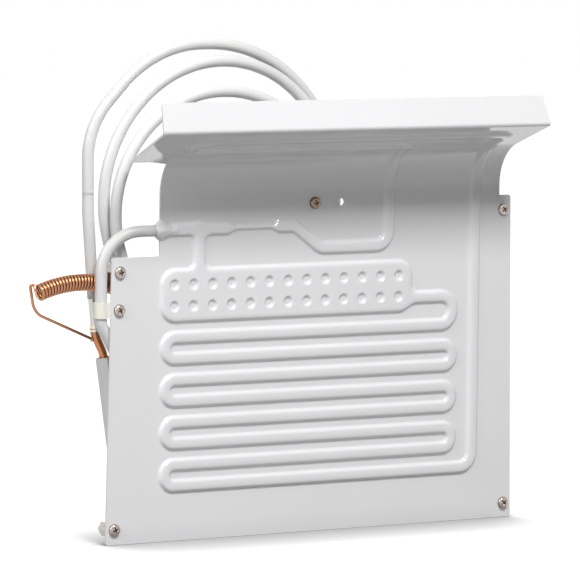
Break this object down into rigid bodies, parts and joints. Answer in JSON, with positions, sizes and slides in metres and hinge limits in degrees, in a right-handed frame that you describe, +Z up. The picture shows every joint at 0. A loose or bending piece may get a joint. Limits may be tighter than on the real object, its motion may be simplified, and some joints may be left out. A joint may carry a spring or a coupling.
{
  "type": "refrigerator evaporator plate",
  "caption": "White roll-bond evaporator sheet with a raised channel network, a forward shelf with lip, corner standoffs and a sleeved suction line coiled behind.",
  "frame": {"origin": "midway between the two lower standoffs, on the plane of their rear ends, where they meet the wall", "axes": "+X to the plate's right seen from the front, +Y to the wall behind it, +Z up"},
  "size_m": [0.4094, 0.1035, 0.3663],
  "materials": {
    "white_coat": "white epoxy coat on aluminium, satin",
    "white_collar": "white coat over a brazed collar, satin",
    "bare_aluminium": "drawn, satin",
    "joint_metal": "pressed, satin",
    "copper": "drawn copper, slightly tarnished",
    "white_sleeve": "smooth shrunk sleeve",
    "white_card": "coated white outside, brown edges",
    "clip_plastic": "natural nylon",
    "screw_steel": "plated steel",
    "standoff_steel": "turned, plated"
  },
  "bodies": {
    "root": {"front_skin": "white_coat", "rear_skin": "white_coat", "port_collar": "white_collar", "port_tube": "bare_aluminium", "capillary_in_channel": "copper", "sleeve_port_length": "white_sleeve", "sleeve_first_length": "white_sleeve", "sleeve_second_length": "white_sleeve", "bare_tube_end": "bare_aluminium", "transition_joint": "joint_metal", "copper_tail": "copper", "capillary": "copper", "card_sleeve": "white_card", "pipe_clip": "clip_plastic", "clip_screw": "screw_steel", "clip_nut": "screw_steel", "centre_screw": "screw_steel", "centre_nut": "screw_steel", "screw_lower_left": "screw_steel", "standoff_lower_left": "standoff_steel", "screw_lower_right": "screw_steel", "standoff_lower_right": "standoff_steel", "screw_upper_left": "screw_steel", "standoff_upper_left": "standoff_steel", "screw_upper_right": "screw_steel", "standoff_upper_right": "standoff_steel"}
  },
  "joints": []
}
